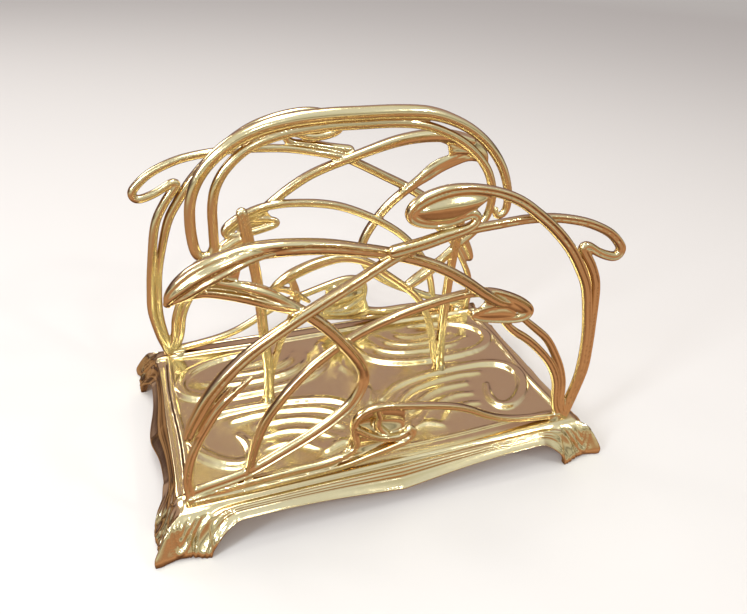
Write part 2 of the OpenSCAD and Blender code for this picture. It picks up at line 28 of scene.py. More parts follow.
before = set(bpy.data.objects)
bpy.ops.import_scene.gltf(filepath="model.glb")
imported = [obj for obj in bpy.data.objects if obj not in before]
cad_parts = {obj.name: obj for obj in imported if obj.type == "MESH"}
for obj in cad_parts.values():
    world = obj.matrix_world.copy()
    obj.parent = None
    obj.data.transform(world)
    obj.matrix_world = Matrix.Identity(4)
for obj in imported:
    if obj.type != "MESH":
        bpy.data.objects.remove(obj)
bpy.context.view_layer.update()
MM = 0.001
collection = bpy.context.scene.collection

# ---------------------------------------------------------------- strands
# Sections of a strand as (across, out): across towards its upper edge, out away from its outer face.
ROUND_SIDES = 20
ROUND = [(math.cos(a), math.sin(a)) for a in np.linspace(0, 2 * math.pi, ROUND_SIDES, endpoint=False)]
STRAP = [(1.0, -0.35), (1.0, 0.1), (0.86, 0.52), (0.5, 0.78), (0.1, 0.8), (-0.4, 0.72), (-0.82, 0.46),
         (-1.0, 0.1), (-0.97, -0.25), (-0.8, -0.54), (-0.5, -0.72), (-0.15, -0.78), (0.14, -0.70),
         (0.28, -0.66), (0.42, -0.9), (0.62, -1.05), (0.84, -0.92), (0.97, -0.62)]
EDGED = [(1.0, -0.3), (0.95, 0.3), (0.6, 0.75), (0.1, 0.9), (-0.5, 0.8), (-0.9, 0.4), (-1.0, -0.1),
         (-0.9, -0.5), (-0.62, -0.78), (-0.3, -0.9), (-0.05, -0.82), (0.1, -0.62), (0.26, -0.84),
         (0.5, -1.02), (0.76, -0.92), (0.93, -0.65)]
LEAF = [(1.0, 0.0), (0.92, -0.42), (0.68, -0.74), (0.44, -0.84), (0.26, -0.70), (0.16, -0.66),
        (0.02, -0.86), (-0.24, -0.94), (-0.46, -0.80), (-0.56, -0.60), (-0.66, -0.62), (-0.84, -0.60),
        (-0.98, -0.34), (-1.0, 0.0), (-0.7, 0.34), (-0.2, 0.5), (0.4, 0.5), (0.85, 0.34)]

# Strands of a panel: (section, turned over, points), each point [along, up, radius, depth].
PANEL = {
    "post_and_notch": (EDGED, True, [
        [91, 19.6, 2.8, 0.3], [93, 26, 2.4, 0.5], [95, 33, 2.2, 0.8], [97, 48, 2.3, 1],
        [96, 61, 2.3, 1], [94, 75, 2.3, 1], [90, 96, 2.2, 0.5], [84.5, 107, 2.2, 0],
        [78.5, 115, 2.2, 0], [77.3, 117.5, 2.1, 0], [80, 117.6, 2, 0], [86, 114, 2, 0],
        [92, 111.5, 2.1, 0], [96.2, 110.7, 2.1, 0], [98, 112.2, 2.1, 0], [97.6, 115.3, 2.1, 0],
        [91.5, 121.3, 2, 0], [84, 125.6, 2, 0], [74, 129.3, 2, 0.5], [61, 131.7, 2, 1.6],
        [48, 132.5, 2, 1.6], [34, 132, 2, 1], [22, 131, 2, 1], [9, 128.5, 2, 1.2],
        [-3, 125.5, 2.2, 0.6], [-11, 122.5, 2.3, 0], [-28, 113.5, 2.4, -0.8], [-48, 102.5, 2.6, -1.2],
        [-66, 90, 2.8, -0.5], [-79, 76.5, 2.9, 0], [-87.5, 62.5, 2.7, 0], [-90.3, 56, 2.3, 0]]),
    "horn_return": (STRAP, False, [
        [-90.5, 55, 2, 0], [-87, 56, 1.7, 0.4], [-84, 61, 1.5, 0.8], [-79, 68.5, 1.3, 0.8],
        [-73, 75.5, 0.8, 0.8]]),
    "arch": (EDGED, True, [
        [91, 19.6, 2.8, 0.3], [92.3, 32, 2, 0], [93.5, 45, 2, -0.6], [92.5, 60, 2, -1],
        [90, 75, 2, -1.2], [84, 96, 2.2, -1.4], [78, 107, 2.3, -1.4], [70, 118, 2.4, -1.4],
        [60, 128, 2.4, -1.6], [50, 136, 2.3, -1.4], [41, 142, 2.2, -0.6], [31, 146, 2.1, 0],
        [20, 148.3, 2.1, 0], [10, 148.3, 2.4, 0], [1, 145.8, 2.6, 0], [-3.6, 142.4, 2.4, 0],
        [-3.4, 138.9, 2.2, 0], [3, 136.4, 2.1, 0], [11, 136, 2, 0], [18, 138, 1.9, -0.5],
        [21.8, 138.6, 1.9, -0.8], [23.6, 136.2, 1.9, -1], [20, 133.2, 2.1, -1.4], [9, 131, 2.6, -2],
        [0, 129, 2.7, -2.2], [-10.5, 127.2, 2.7, -2.2]]),
    "leaf_back": (STRAP, False, [
        [-80, 128.5, 2.6, 0.6], [-69, 131.5, 3.2, 0.4], [-58, 132.9, 3.4, 0], [-46, 132.5, 3.2, 0],
        [-34, 130.8, 3, 0.4], [-22, 127.8, 2.7, 1], [-10, 124.4, 2.5, 1.6], [2, 120.3, 2.4, 1],
        [12, 115.8, 2.4, 0], [22, 109.5, 2.4, -0.8], [32, 102, 2.3, -1.2], [40, 96.5, 2.2, -0.6],
        [46, 94, 1.8, 0]]),
    "leaf_lip": (STRAP, False, [
        [-88, 117.5, 1.2, 0], [-80, 119, 1.7, 0], [-72, 117, 1.8, 0], [-64, 114, 1.9, 0],
        [-56, 110, 2, 0.4], [-48, 106.5, 2.2, 1], [-41.5, 102.5, 2.5, 1], [-34.5, 96, 2.5, 0],
        [-28, 88, 2.5, -0.8], [-22, 79, 2.5, -0.6], [-19, 71.5, 2.4, 0], [-19.5, 65, 2.3, 0],
        [-24, 56.5, 2.4, 0], [-31, 50.3, 2.4, 0], [-38, 45.5, 2.4, 0], [-45, 41.5, 2.4, 0],
        [-53, 37.5, 2.4, 0], [-61, 33.5, 2.4, 0], [-68, 30.5, 2.3, 0], [-76, 28.5, 2.2, 0],
        [-85, 27, 2.2, 0], [-92, 25.5, 2.2, 0]]),
    "leaf_fold": (ROUND, False, [
        [-75, 122.5, 1.3, 0.4], [-68, 120, 1.5, 0.4], [-60, 116.5, 1.6, 0.4], [-52, 111.5, 1.8, 0.8],
        [-42.5, 104, 2.1, 1]]),
    "inner_arch": (STRAP, False, [
        [-68.5, 27, 2, 0], [-66, 39, 2.1, 0], [-63.5, 47.5, 2.2, 0], [-60, 56, 2.2, 0],
        [-55, 63.5, 2.2, 0], [-49, 70.5, 2.2, 0.4], [-42, 77.2, 2.2, 0.8], [-34, 83.2, 2.2, 1.2],
        [-25, 88.7, 2.2, 1.2], [-15, 93.6, 2.2, 0.6], [-5, 97.4, 2.2, 0], [6, 100, 2.2, 0],
        [17, 101.5, 2.1, 0.4], [27, 102, 2.1, 0.8], [37, 100.8, 2.2, 0.6], [46.5, 97, 2.4, 0],
        [53, 93, 2.5, 0], [56.4, 89.6, 2.3, 0], [55.2, 87, 2.1, 0], [51, 86.3, 2, 0], [45, 87, 1.9, 0],
        [38, 88.3, 1.8, 0], [31, 90.1, 1.7, 0], [28.6, 91.8, 1.6, 0], [31.5, 93.4, 1.5, -0.4],
        [36, 94.2, 1.5, -0.4], [41.5, 94.4, 1.4, -0.4]]),
    "stem_inner": (EDGED, False, [
        [44.5, 85.8, 1.5, 0], [51, 79.5, 1.9, 0], [59, 73.5, 2, 0], [67, 66, 2, 0], [74, 58, 2, 0],
        [79, 50, 2, 0], [82, 42, 1.9, 0], [83.5, 33.5, 1.9, 0], [85.5, 27, 2, 0], [89.5, 20.5, 2.3, 0]]),
    "stem_outer": (EDGED, False, [
        [54, 85.8, 1.5, 0.6], [62.5, 78.5, 1.8, 0.6], [70.5, 71, 1.9, 0.6], [77, 61.5, 1.9, 0.6],
        [82.5, 51.5, 1.9, 0.6], [86, 42, 1.8, 0.6], [87.3, 33.5, 1.8, 0.4], [88.5, 27, 2, 0],
        [90.5, 20.5, 2.3, 0]]),
    "rail": (STRAP, False, [
        [-93, 22, 2.3, -0.6], [-79, 23.6, 2.2, -0.6], [-64, 24.6, 2.2, -0.6], [-49, 25.2, 2.3, -0.6],
        [-36, 25.3, 2.3, -0.6], [-26, 27.4, 2.2, -0.6], [-20.5, 31.5, 2, -0.6], [-21.6, 38, 2, -0.6],
        [-22, 44, 2.1, -0.6], [-20, 48.5, 2.1, -0.6], [-15.5, 51, 2, -0.6], [-8, 51.2, 1.9, -0.6],
        [2, 48.7, 2, -0.4], [14, 45.5, 2, 0], [26, 42, 2, 0], [35.5, 37.8, 2, 0], [44, 32.7, 2, 0],
        [53, 28.2, 2, 0], [63, 25, 2, 0], [75, 22.9, 2, 0], [89, 21.3, 2.2, 0]]),
    "bud_under": (STRAP, False, [
        [-91, 20.6, 1.7, -1.2], [-75, 20.6, 1.8, -1.4], [-58, 20.9, 1.8, -1.6], [-39, 21.4, 1.9, -1.6],
        [-26, 22.1, 1.9, -1.6], [-14.5, 24.4, 2, -1.4], [-4.5, 26.4, 2.2, -1.2], [3.5, 28.6, 2.4, -1],
        [6.8, 32.5, 2.2, -1], [4.6, 35.6, 1.9, -1]]),
    "bud_ring": (STRAP, False, [
        [-21.8, 42, 2, -0.6], [-15.5, 36.8, 2, -0.8], [-8.5, 33, 2, -1], [0, 32.2, 2.2, -1],
        [4.5, 34.5, 2, -1]]),
    "bud_tongue": (ROUND, False, [
        [-12, 50, 1.8, 0], [-10, 44.5, 1.7, 0.4], [-10.2, 39, 1.8, 0.6], [-6.5, 34.6, 1.8, 0.2]]),
    "side_shoot": (EDGED, False, [
        [-92, 20.5, 2.7, 0], [-92.8, 31, 2.2, 0.4], [-91, 41.5, 2.1, 0.6], [-88, 49, 1.9, 0.8],
        [-83, 58, 1.8, 0.8], [-77.5, 66.5, 1.7, 0.8], [-71, 73, 1.5, 0.8], [-64.5, 78.5, 1, 0.8]]),
}

# The broad leaf at the upper left of a panel
BIG_LEAF = [[-38, 132, 1.2, -0.4], [-50, 133.4, 2.2, -0.6], [-62, 132.6, 3.6, -0.6],
            [-72, 129.6, 4.8, -0.4], [-80, 126, 5.2, 0], [-86, 122, 4.6, 0.2], [-90, 118.6, 3, 0.2],
            [-91.4, 116.6, 1.6, 0.2]]
# Thin webs of a panel: two edges as [along, up], then how far it is bowed, its depth and its ripple
WEBS = [
    # fold under the big leaf
    ([[-80, 122], [-68, 122], [-57, 118], [-46, 108.5]],
     [[-82, 118.5], [-70, 115.8], [-60, 111.8], [-46, 105]], 0.9, 0.2, 0.0),
    # inside of the big leaf
    ([[-83, 123], [-77, 125.8], [-71, 127.6], [-65.5, 128.8]],
     [[-82, 120.6], [-76.5, 121.4], [-71.5, 120.8], [-68, 119.4]], 1.2, 0.4, 0.2),
    # bowl of the leaf on the arch
    ([[-3.5, 142], [3, 145.8], [12, 147.6], [22, 147], [30, 145.5]],
     [[-3.5, 139.5], [3, 136.6], [11, 136], [17, 137.6], [21.5, 139]], -2.5, -0.1, 0.2),
    # upper and lower halves of the small leaf
    ([[31, 94], [36, 99.5], [44, 99.5], [51, 94.5], [56, 90]],
     [[31.2, 93.2], [36, 94], [41.5, 94], [47, 90.5], [55.5, 88]], -0.9, -0.2, 0.0),
    ([[29.5, 92.2], [32, 93.4], [36, 94.2], [42, 94.2], [49, 91]],
     [[30, 91], [33, 89.8], [38, 88.3], [44, 87.2], [51, 86.6]], -0.9, -0.3, 0.0),
    # under the bud, and the bowl of the bud
    ([[-22, 40], [-15, 36], [-7, 32.5], [4, 33.5]],
     [[-27, 25.5], [-18, 25], [-8, 26.5], [2, 28.5]], 1.4, 0.2, 0.3),
    ([[-20.5, 46], [-14, 50], [-6, 50.5], [2, 48]],
     [[-21, 40], [-14, 36], [-6, 33], [3, 33.5]], 2.6, 0.4, 0.5),
]

# Strands of the divider
DIVIDER = {
    "hoop_outer": (ROUND, False, [
        [-68.5, 108.5, 2.1, 0], [-70.3, 105, 2.2, 0], [-74, 104.6, 2.3, 0], [-76.4, 108, 2.3, 0],
        [-77.3, 119, 2.3, 0], [-76, 131, 2.3, 0], [-71, 141.5, 2.5, 0], [-62, 150.5, 2.7, 0],
        [-50, 157, 2.9, 0], [-36, 160.5, 3.1, 0], [-20, 161.9, 3.15, 0], [-4, 162.15, 3.1, 0],
        [12, 162.1, 3.1, 0], [26, 161, 3, 0], [38, 157.5, 2.6, 0], [49, 152, 2.4, 0],
        [59, 144, 2.3, 0], [67, 134, 2.2, 0], [72, 123, 2.1, 0], [73.4, 114.5, 2, 0],
        [72.4, 110.4, 1.9, 0], [69.6, 108.8, 1.8, 0], [67.4, 110.2, 1.6, 0], [67.4, 112.6, 1.3, 0]]),
    "hoop_inner": (ROUND, False, [
        [-68.4, 107, 2.1, 0], [-68.2, 117, 2.1, 0], [-67.8, 127, 2.1, 0], [-65.5, 136, 2.1, 0],
        [-60, 144, 2.1, 0], [-51, 150.8, 2.1, 0.4], [-38, 155, 2.2, 0.8], [-22, 157, 2.2, 0.8],
        [-5, 157.4, 2.2, 0.8], [12, 157.3, 2.2, 0.8], [25, 155.6, 2.1, 0.8], [37, 151.3, 2.1, 0.6],
        [47, 145.6, 2.1, 0.4], [55, 138.5, 2.1, 0], [61, 130, 2.1, 0], [64, 120, 2.1, 0],
        [63.2, 110.5, 2, 0], [58.5, 103.5, 2, 0], [50, 96, 2, 0]]),
    "left_post": (EDGED, False, [
        [-48, 18.5, 3.4, 0], [-47.8, 25, 2.8, 0], [-47.6, 40, 2.6, 0], [-49, 60, 2.5, 0],
        [-51, 90, 2.5, 0], [-54, 110, 2.7, 0], [-56, 123, 2.5, 0]]),
    "right_post": (EDGED, False, [
        [47.7, 18.5, 3.4, 0], [47, 25, 2.8, 0], [46, 50, 2.5, 0], [46.5, 80, 2.4, 0],
        [47.7, 100, 2.4, 0], [49.5, 121, 2.4, 0]]),
    "left_hold": (ROUND, False, [
        [-54, 112, 2, 0], [-58.5, 110.5, 1.9, 0], [-64, 107.5, 2, 0], [-68, 106, 2, 0]]),
    "left_limb": (STRAP, False, [
        [-47.5, 20, 2, 0], [-46, 36, 1.8, 0], [-42, 52, 1.8, 0], [-38, 62, 1.8, 0], [-34, 72, 1.9, 0],
        [-33, 80, 1.9, 0], [-35, 87.5, 1.8, 0]]),
    "low_arch": (STRAP, True, [
        [47, 20, 2, 0], [44, 27, 1.9, 0], [42, 35, 1.9, 0], [38.5, 50, 1.9, 0], [33, 63, 1.9, 0],
        [25, 73, 1.9, 0], [12, 84, 1.9, 0], [2, 91.8, 2, 0], [-10, 96, 2.3, 0], [-22, 95, 2.7, 0],
        [-34, 91, 2.8, 0], [-41, 87, 2.2, 0], [-45, 84.2, 1.2, 0]]),
    "low_lip": (STRAP, False, [
        [-44.5, 84, 1.2, 0], [-39, 83.5, 1.6, 0], [-33, 80, 1.7, 0], [-27, 75, 1, 0]]),
    "right_bud": (ROUND, False, [
        [24.5, 76.5, 2.6, 0], [29, 79.5, 3, 0], [35, 83.5, 2.9, 0], [41, 88.5, 2.3, 0],
        [46.5, 94, 1.9, 0]]),
}

# Round feet of the castings on the tray: place, then lower and upper height and radius
PANEL_PADS = [(side * 86, 1, (19, 21.5), (4.2, 3)) for side in (-1, 1)]
DIVIDER_PADS = [(side * 48, 0, (19, 22.5), (4.6, 2.9)) for side in (-1, 1)]
PANEL_OFFSET = 54.5

FINE_STEP = 0.25       # first sampling of a smooth curve
CURVE_STEP = 0.8       # distance between the rings of a strand
EDGE_STEP = 0.5        # the same along the edge of a web
WEB_THICKNESS = 1.3
WEB_GRID = (20, 14)
CAP_SIZES = np.array([0.3, 0.7, 0.92])  # radii of the rings that round off an end
PAD_SIDES = 32
VOXEL = 0.36           # grain at which overlapping forms are fused
SOFTEN_ROUNDS = 4


def smooth(rows):
    """Evens out each inner row with its two neighbours, three times, in place."""
    for _ in range(3):
        rows[1:-1] = 0.25 * rows[:-2] + 0.5 * rows[1:-1] + 0.25 * rows[2:]
    return rows


def spline(points, step=CURVE_STEP):
    """Samples a smooth curve about every step, then evens out its small kinks."""
    p = np.array(points, float)
    q = np.vstack([2 * p[0] - p[1], p, 2 * p[-1] - p[-2]])
    out = []
    for i in range(1, len(q) - 2):
        a, b, c, d = q[i - 1:i + 3]
        n = max(2, int(np.linalg.norm((c - b)[:2]) / FINE_STEP))
        t = np.arange(n)[:, None] / n
        square = (2 * a - 5 * b + 4 * c - d) * t ** 2
        cube = (3 * b - a - 3 * c + d) * t ** 3
        out.append(0.5 * (2 * b + (c - a) * t + square + cube))
    c = np.vstack(out + [p[-1:]])
    s = np.concatenate([[0], np.cumsum(np.linalg.norm(np.diff(c[:, :2], axis=0), axis=1))])
    n = max(int(s[-1] / step), 4)
    u = np.linspace(0, s[-1], n + 1)
    return smooth(np.stack([np.interp(u, s, c[:, k]) for k in range(c.shape[1])], 1))


def sweep(section, turned_over, points):
    """One strand standing in the X-Z plane, rounded off at both ends: vertices and faces."""
    c = spline(points)
    t = np.gradient(c[:, :2], axis=0)
    t /= np.linalg.norm(t, axis=1)[:, None]
    reach = np.sqrt(1 - CAP_SIZES ** 2)

    def cap(i, sign, order):
        radius = c[i, 2]
        return [[*(c[i, :2] + sign * t[i] * radius * reach[k]), radius * CAP_SIZES[k], c[i, 3]]
                for k in order]

    rows = np.vstack([cap(0, -1, [0, 1, 2]), c, cap(-1, 1, [2, 1, 0])])
    heading = np.vstack([[t[0]] * 3, t, [t[-1]] * 3])
    sec = np.array(section)
    if turned_over:
        sec = (sec * [-1, 1])[::-1]
    m, k = len(rows), len(sec)
    v = np.zeros((m, k, 3))
    v[:, :, 0] = rows[:, 0:1] - heading[:, 1:2] * rows[:, 2:3] * sec[None, :, 0]
    v[:, :, 1] = rows[:, 3:4] + rows[:, 2:3] * sec[None, :, 1]
    v[:, :, 2] = rows[:, 1:2] + heading[:, 0:1] * rows[:, 2:3] * sec[None, :, 0]
    faces = [(i * k + j, i * k + (j + 1) % k, (i + 1) * k + (j + 1) % k, (i + 1) * k + j)
             for i in range(m - 1) for j in range(k)]
    faces.append(tuple(range(k))[::-1])
    faces.append(tuple((m - 1) * k + j for j in range(k)))
    return v.reshape(-1, 3), faces


def web(edge_a, edge_b, bulge, depth, ripple):
    """A thin closed skin between two edges, bowed by bulge (+ is inwards)."""
    n, m = WEB_GRID

    def even(edge):
        c = spline([[p[0], p[1], 1, 0] for p in edge], EDGE_STEP)
        return c[np.linspace(0, len(c) - 1, n).astype(int), :2]

    a, b = even(edge_a), even(edge_b)
    s = np.linspace(0, 1, m)
    g = a[:, None, :] * (1 - s)[None, :, None] + b[:, None, :] * s[None, :, None]
    fade = np.sin(np.pi * np.linspace(0, 1, n)) ** 0.5
    bow = bulge * np.sin(np.pi * s) + ripple * np.sin(4 * np.pi * s)
    y = depth + bow[None, :] * fade[:, None]
    v = np.concatenate([np.dstack([g[..., 0], y + side * WEB_THICKNESS / 2, g[..., 1]]).reshape(-1, 3)
                        for side in (-1, 1)])
    q = n * m
    faces = []
    for i in range(n - 1):
        for j in range(m - 1):
            k = i * m + j
            faces += [(k, k + m, k + m + 1, k + 1), (q + k, q + k + 1, q + k + m + 1, q + k + m)]
    rim = ([i * m for i in range(n)] + [(n - 1) * m + j for j in range(1, m)]
           + [i * m + m - 1 for i in range(n - 2, -1, -1)] + list(range(m - 2, 0, -1)))
    for k, here in enumerate(rim):
        there = rim[(k + 1) % len(rim)]
        faces.append((there, here, q + here, q + there))
    return v, faces


def pad(x, y, heights, radii):
    """A round foot that narrows upwards."""
    n = PAD_SIDES
    a = np.linspace(0, 2 * np.pi, n, endpoint=False)
    v = [np.stack([x + r * np.cos(a), y + r * np.sin(a), np.full(n, z)], 1) for z, r in zip(heights, radii)]
    faces = [(j, (j + 1) % n, n + (j + 1) % n, n + j) for j in range(n)]
    return np.vstack(v), faces + [tuple(range(n))[::-1], tuple(range(n, 2 * n))]


def add_object(name, mesh):
    ob = bpy.data.objects.new(name, mesh)
    collection.objects.link(ob)
    return ob


def solid(name, parts):
    """One mesh in metres from lists of vertices and faces in millimetres."""
    verts, faces, base = [], [], 0
    for v, f in parts:
        verts.append(v)
        faces += [tuple(int(i) + base for i in face) for face in f]
        base += len(v)
    mesh = bpy.data.meshes.new(name)
    mesh.from_pydata((np.vstack(verts) * MM).tolist(), [], faces)
    mesh.update()
    return mesh


def cast(name, parts):
    """Fuses overlapping closed forms into one skin and softens its creases as a casting's are."""
    ob = add_object(name, solid("forms", parts))
    fuse = ob.modifiers.new("fuse", "REMESH")
    fuse.mode = "VOXEL"
    fuse.voxel_size = VOXEL * MM
    fuse.use_smooth_shade = True
    soften = ob.modifiers.new("soften", "SMOOTH")
    soften.factor = 0.5
    soften.iterations = SOFTEN_ROUNDS
    depsgraph = bpy.context.evaluated_depsgraph_get()
    mesh = bpy.data.meshes.new_from_object(ob.evaluated_get(depsgraph))
    ob.modifiers.clear()
    ob.data = mesh
    mesh.name = name
    mesh.shade_smooth()
    return ob


def panel_forms():
    return ([sweep(*strand) for strand in PANEL.values()] + [sweep(LEAF, False, BIG_LEAF)]
            + [web(*row) for row in WEBS] + [pad(*row) for row in PANEL_PADS])


def divider_forms():
    return [sweep(*strand) for strand in DIVIDER.values()] + [pad(*row) for row in DIVIDER_PADS]


# ---------------------------------------------------------------- tray
HALF_X, HALF_Y = 97.0, 58.5      # half length and half width of the deck
DECK, DECK_UNDER = 19.0, 16.0    # its top and its underside above the table
GRID_STEP = 0.77
EDGE_ZONE, EDGE_LINES = 12, 28   # the closer grid lines along its edges
WALL = 2.2                       # of the apron and the feet
SKIRT_ROWS = 46
CORNER_FAN = 28
INNER_CORNER = 2.0


def ease(t):
    t = np.clip(t, 0, 1)
    return t * t * (3 - 2 * t)


def bead(p, centre, width):
    return np.sqrt(np.clip(1 - ((p - centre) / width) ** 2, 0, 1))


def dent(p, centre, width):
    return np.exp(-((p - centre) / width) ** 2)


def raised(crest, flank):
    """Section of a raised line: a crest and soft flanks, each (height, place, width) as shares."""
    def section(dist, half_width):
        return (crest[0] * bead(dist, crest[1] * half_width, crest[2] * half_width)
                + flank[0] * dent(dist, flank[1] * half_width, flank[2] * half_width))
    return section


# A ribbon has a bead along both its edges, a ridge has one round crest
ribbon = raised((0.95, 0.62, 0.38), (0.35, 0, 1.15))
ridge = raised((0.62, 0, 0.75), (0.5, 0, 2.1))

# Raised ornament of the deck: sides of the middle, section, then points [x, y, half width, height]
BOTH, ONCE = (1, -1), (1,)
RELIEF = [
    (BOTH, ribbon, [
        [8, 40, 1.3, 0.6], [9, 30, 1.6, 1.0], [12, 22, 2, 1.3], [20, 15, 2.3, 1.4],
        [32, 10.8, 2.4, 1.4], [46, 9, 2.3, 1.4], [62, 8.7, 2.2, 1.4], [78, 11, 2.4, 1.4],
        [87, 16.5, 2.8, 1.5], [89.5, 24, 2.9, 1.5], [86, 32, 2.6, 1.4], [78, 38, 2.2, 1.3],
        [66, 42, 1.8, 1.1], [48, 44, 1.3, 0.8]]),
    (BOTH, ridge, [
        [19, 34, 1.2, 0.7], [22, 26, 1.6, 1.2], [33, 20, 1.7, 1.4], [50, 18, 1.6, 1.3],
        [66, 19, 1.4, 1.1], [77, 23, 1.2, 0.7]]),
    (BOTH, ridge, [
        [26, 37, 1.1, 0.7], [31, 30, 1.4, 1.1], [43, 25.5, 1.5, 1.2], [58, 25.5, 1.3, 1],
        [69, 28.5, 1.1, 0.7]]),
    (BOTH, ridge, [
        [36, 38, 1, 0.6], [43, 33, 1.3, 1], [53, 32.5, 1.2, 0.9], [61, 34.5, 1, 0.6]]),
    (BOTH, ribbon, [
        [8, -15, 1.2, 0.6], [19, -7.5, 1.8, 1.2], [36, -3.6, 2.1, 1.4], [56, -2, 2.1, 1.4],
        [74, -2.6, 2.3, 1.4], [84.5, -7, 2.7, 1.5], [88.5, -15, 2.9, 1.6], [86, -25.5, 2.8, 1.5],
        [78, -34.5, 2.6, 1.5], [69.5, -38.5, 2.4, 1.4], [64, -36, 2.1, 1.3], [63.5, -28, 1.7, 1.1],
        [67, -20, 1.2, 0.7]]),
    (BOTH, ridge, [
        [14, -21, 1.2, 0.7], [25, -13.5, 1.6, 1.3], [40, -9.8, 1.7, 1.4], [56, -8.8, 1.6, 1.3],
        [68, -9.6, 1.3, 0.9]]),
    (BOTH, ridge, [
        [18, -28, 1.2, 0.7], [30, -20, 1.6, 1.3], [43, -16.3, 1.6, 1.3], [57, -16.2, 1.3, 0.9]]),
    (BOTH, ridge, [
        [23, -35, 1.1, 0.7], [34, -27, 1.5, 1.2], [45, -23.6, 1.4, 1.1], [56, -24.5, 1.1, 0.7]]),
    (BOTH, ridge, [
        [32, -40, 1.1, 0.6], [40, -34, 1.4, 1.1], [49, -31.5, 1.3, 0.9], [56, -32.5, 1, 0.6]]),
    (BOTH, ridge, [
        [16, -40, 1.5, 0.7], [22, -38.5, 2.2, 1.3], [30, -42, 1.6, 0.8]]),
    (ONCE, ridge, [
        [-2, 12, 1.2, 0.6], [-4, 18, 2.2, 1.3], [-1, 25, 1.1, 0.6]]),
    (ONCE, ridge, [
        [2, -2, 1.2, 0.6], [4, -8, 2.2, 1.3], [1, -16, 1.1, 0.6]]),
]
RELIEF_STEP = 1.2
RELIEF_MARGIN = 7


def relief_height(x, y):
    """Height of the raised ornament over the deck at arrays of points."""
    h = np.zeros_like(x)
    pts = np.stack([x, y], -1)
    for sides, section, line in RELIEF:
        c = spline(line, RELIEF_STEP)
        for side in sides:
            p = c[:, :2] * [side, 1]
            lo, hi = p.min(0) - RELIEF_MARGIN, p.max(0) + RELIEF_MARGIN
            near = (x > lo[0]) & (x < hi[0]) & (y > lo[1]) & (y < hi[1])
            q = pts[near]
            best = np.zeros(len(q))
            for i in range(len(p) - 1):
                a, d = p[i], p[i + 1] - p[i]
                t = np.clip(((q - a) @ d) / (d @ d), 0, 1)
                dist = np.linalg.norm(q - a - t[:, None] * d, axis=1)
                half_width, height = c[i, 2], c[i, 3]
                best = np.maximum(best, height * section(dist, half_width))
            h[near] = np.maximum(h[near], best)
    return h


def blur(a):
    p = np.pad(a, 1, mode="edge")
    return (p[:-2, 1:-1] + p[2:, 1:-1] + p[1:-1, :-2] + p[1:-1, 2:] + 2 * p[1:-1, 1:-1]) / 6


# Border of the deck: height, distance from the middle, width
END_BORDER, END_BORDER_STOP = (1.5, 92.6, 1.6), 50
SIDE_BORDER, SIDE_BAND = (1.5, 50.6, 1.4), (0.9, 49.2, 1.2)
END_LIP = (0.35, 96.1, 0.9)
SIDE_SLOPE = (1.0, 53.5, 5.5)
SIDE_SWAY, END_SWAY = (0.5, 17), (0.7, 13)
EDGE_DROP, EDGE_RUN = 0.35, 0.9


def deck_height(x, y):
    """Height of the deck's top over its level: the ornament, a border and a softened edge."""
    ax, ay = np.abs(x), np.abs(y)
    side_sway = SIDE_SWAY[0] * np.sin(x / SIDE_SWAY[1])
    end_sway = END_SWAY[0] * np.sin(y / END_SWAY[1])
    h = relief_height(x, y)
    end_border = END_BORDER[0] * bead(ax, END_BORDER[1] + end_sway, END_BORDER[2])
    h = np.maximum(h, end_border * (ay < END_BORDER_STOP))
    h = np.maximum(h, SIDE_BAND[0] * ease((ay - SIDE_BAND[1] - side_sway) / SIDE_BAND[2]))
    h = np.maximum(h, SIDE_BORDER[0] * bead(ay, SIDE_BORDER[1] + side_sway, SIDE_BORDER[2]))
    h = np.maximum(h, END_LIP[0] * ease((ax - END_LIP[1]) / END_LIP[2]))
    h = h - SIDE_SLOPE[0] * np.clip((ay - SIDE_SLOPE[1]) / SIDE_SLOPE[2], 0, 1) ** 2
    h = blur(blur(h))
    fall = np.minimum(HALF_X - ax, HALF_Y - ay)
    return h - EDGE_DROP * (1 - ease(fall / EDGE_RUN))


def grid_lines(half):
    """Grid lines across the deck, closer together near its edges where the feet's flutes begin."""
    end = np.linspace(0, EDGE_ZONE, EDGE_LINES)
    inner = half - EDGE_ZONE
    mid = np.linspace(-inner, inner, int(2 * inner / GRID_STEP) + 1)
    return np.concatenate([-half + end[:-1], mid, (half - end[:-1])[::-1]])


# How far the lower edge stands out: on the apron, and more of it near a corner, by distance from there
REACH_AT = [0, 4, 9, 12, 17, 24]
LONG_REACH, LONG_FOOT = 6.6, [2.6, 3.2, 4.0, 3.4, 1.2, 0]
SHORT_REACH, SHORT_FOOT = 5.8, [6.2, 6.3, 6.2, 4.8, 1.6, 0]
LONG_LOBE, SHORT_LOBE = (0.9, 26), (3.9, 15)  # more in the middle: how much, over what length
TIP_SHAPE, TIP_PULL, TIP_POWER = [1.055, 0.90], 0.75, 1.5


def reach(is_long, from_corner, from_middle):
    base, foot, lobe = ((LONG_REACH, LONG_FOOT, LONG_LOBE) if is_long
                        else (SHORT_REACH, SHORT_FOOT, SHORT_LOBE))
    return base + np.interp(from_corner, REACH_AT, foot) + lobe[0] * math.exp(-(from_middle / lobe[1]) ** 2)


